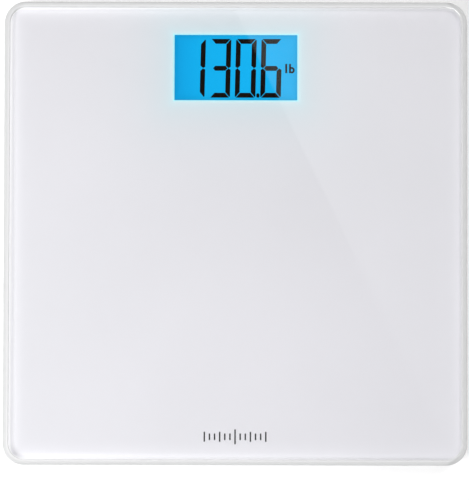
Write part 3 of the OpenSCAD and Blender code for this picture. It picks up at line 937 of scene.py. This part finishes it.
def cell_frame(bm, at):
    """Fixed outer part of the plate, open round the tongue."""
    back, front = TONGUE_ROOT, TONGUE_FRONT - CELL_SLOT
    outer = rounded_outline(CELL_HALF, CELL_HALF, CELL_R)
    hole = rounded_outline(TONGUE_HALF + CELL_SLOT, (back - front) / 2, 0.2 * MM)
    hole = [p + Vector((0, (back + front) / 2)) for p in hole]
    rings = []
    for outline, z in (
        (outer, CELL_LO.z), (outer, CELL_HI.z), (hole, CELL_HI.z), (hole, CELL_LO.z)
    ):
        rings.append([bm.verts.new(at(p.x, p.y, z)) for p in outline])
    for a, b in zip(rings, rings[1:] + rings[:1]):
        bridge(bm, a, b)


def cell_tongue(bm, at):
    """Spring tongue, cut across in short lengths."""
    span = TONGUE_ROOT - TONGUE_FRONT
    corners = [(-1, CELL_LO.z), (1, CELL_LO.z), (1, CELL_HI.z), (-1, CELL_HI.z)]
    rings = []
    for i in range(TONGUE_STEPS + 1):
        y = TONGUE_FRONT + span * i / TONGUE_STEPS
        rings.append([bm.verts.new(at(side * TONGUE_HALF, y, z)) for side, z in corners])
    for a, b in zip(rings, rings[1:]):
        bridge(bm, a, b)
    bm.faces.new(rings[0])
    bm.faces.new(rings[-1])


def load_cells():
    """Each plate as its fixed frame and a separate tongue."""
    steel = [MATERIALS["cell_steel"]]
    for end in ("front", "rear"):
        for side, sign in (("left", -1), ("right", 1)):
            centre, across, along = cell_axes(end, sign)

            def at(x, y, z):
                """A point given across, along and up from this cell's foot."""
                return centre + across * x + along * y + Z * z

            frame_mesh, tongue_mesh = bmesh.new(), bmesh.new()
            cell_frame(frame_mesh, at)
            cell_tongue(tongue_mesh, at)
            obj = add_piece(f"cell_frame_{end}_{side}", frame_mesh, steel, smooth=False)
            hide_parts(f"load_cell_{end}_{side}")
            tongue = new_object(f"cell_tongue_{end}_{side}", tongue_mesh, steel, smooth=False)
            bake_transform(tongue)


load_cells()


# ---------------------------------------------------------------- soft edges
def soften(names, width, segments=3, angle=40):
    """Small moulded radius on the sharp edges of CAD nodes."""
    for name in names:
        bevel = NODES[name].modifiers.new("soft_edges", "BEVEL")
        bevel.width = width
        bevel.segments = segments
        bevel.limit_method = "ANGLE"
        bevel.angle_limit = math.radians(angle)
        bevel.use_clamp_overlap = True
        bevel.harden_normals = True


CORNERS = [f"{end}_{side}" for end in ("front", "rear") for side in ("left", "right")]
soften(["display_housing", "battery_door"] + [f"foot_bracket_{c}" for c in CORNERS], 0.45 * MM)
soften([f"foot_cup_{c}" for c in CORNERS] + [f"foot_pad_{c}" for c in CORNERS], 0.25 * MM)
soften(["unit_button", "wire_clips"], 0.25 * MM)


# ---------------------------------------------------------------- light and floor
def area_light(name, place_at, aim, size, energy):
    """Soft rectangular lamp, unseen by the camera."""
    data = bpy.data.lights.new(name, "AREA")
    data.shape = "RECTANGLE"
    data.size, data.size_y = size
    data.energy = energy
    obj = bpy.data.objects.new(name, data)
    obj.location = place_at
    obj.rotation_mode = "QUATERNION"
    obj.rotation_quaternion = (Vector(aim) - Vector(place_at)).to_track_quat("-Z", "Y")
    obj.visible_camera = False
    bpy.context.scene.collection.objects.link(obj)


def sun_light(name, towards, strength, angle):
    """Distant light, with the width of its disc in degrees."""
    data = bpy.data.lights.new(name, "SUN")
    data.energy = strength
    data.angle = math.radians(angle)
    obj = bpy.data.objects.new(name, data)
    obj.rotation_mode = "QUATERNION"
    obj.rotation_quaternion = Vector(towards).to_track_quat("-Z", "Y")
    bpy.context.scene.collection.objects.link(obj)


WALL_LIGHT = 0.32
OVERHEAD_LIGHT = 0.01
SHEEN_LIGHT = 0.46
WALL_TOP, WALL_FADE = 0.985, 0.03
SHEEN_TURN = math.radians(26.0)
SHEEN_START, SHEEN_EDGE = 0.0553, 0.001
SHEEN_LOW, SHEEN_FADE = 0.06, 0.16


def world_light():
    """White walls all round, and a dark hatch overhead with one sheen edge across it."""
    world = bpy.data.worlds.new("studio")
    world.use_nodes = True
    bpy.context.scene.world = world
    tree = world.node_tree
    way = tree.nodes.new("ShaderNodeSeparateXYZ")
    tree.links.new(tree.nodes.new("ShaderNodeTexCoord").outputs["Generated"], way.inputs[0])

    def calc(operation, a, b, c=None, clamp=False):
        """A number worked out from two or three others."""
        n = tree.nodes.new("ShaderNodeMath")
        n.operation, n.use_clamp = operation, clamp
        for socket, value in zip(n.inputs, (a, b, c)):
            if isinstance(value, bpy.types.NodeSocket):
                tree.links.new(value, socket)
            elif value is not None:
                socket.default_value = value
        return n.outputs[0]

    x, y, z = way.outputs
    walls = calc("MULTIPLY_ADD", z, -1 / WALL_FADE, WALL_TOP / WALL_FADE, clamp=True)
    across, along = calc("DIVIDE", x, z), calc("DIVIDE", y, z)
    beyond = calc(
        "MULTIPLY_ADD", across, math.cos(SHEEN_TURN), calc("MULTIPLY", along, math.sin(SHEEN_TURN))
    )
    edge = calc("MULTIPLY_ADD", beyond, 1 / SHEEN_EDGE, -SHEEN_START / SHEEN_EDGE, clamp=True)
    fade = calc("MULTIPLY_ADD", along, 1 / SHEEN_FADE, SHEEN_LOW / SHEEN_FADE, clamp=True)
    overhead = calc("MULTIPLY", calc("SUBTRACT", 1.0, walls), SHEEN_LIGHT)
    sheen = calc("MULTIPLY", calc("MULTIPLY", edge, fade), overhead)
    background = tree.nodes["Background"]
    background.inputs["Color"].default_value = (1, 1, 1, 1)
    level = calc("MULTIPLY_ADD", walls, WALL_LIGHT, calc("ADD", sheen, OVERHEAD_LIGHT))
    tree.links.new(level, background.inputs["Strength"])


FLOOR_HALF = 12
FLOOR_LIGHT = 0.35


def floor():
    """Plain pale floor, staged with the object and not part of it."""
    bm = bmesh.new()
    for sx, sy in ((-1, -1), (1, -1), (1, 1), (-1, 1)):
        bm.verts.new((sx * FLOOR_HALF, sy * FLOOR_HALF, 0))
    bm.faces.new(bm.verts)
    t = Tree("floor")
    tone = t.ramp(t.noise(3, 2), [(0.3, (0.70,) * 3), (0.7, (0.72,) * 3)])
    paint = t.principled(
        Base_Color=tone, Roughness=0.6, Emission_Color=(1, 1, 1), Emission_Strength=FLOOR_LIGHT
    )
    obj = new_object("floor", bm, [t.finish(paint)], smooth=False)


world_light()
sun_light("overhead", (-0.22, -0.34, -1), strength=0.86, angle=18)
area_light("key", (-0.54, -0.30, 0.92), aim=(-0.05, 0, 0), size=(0.36, 0.36), energy=7.0)
floor()
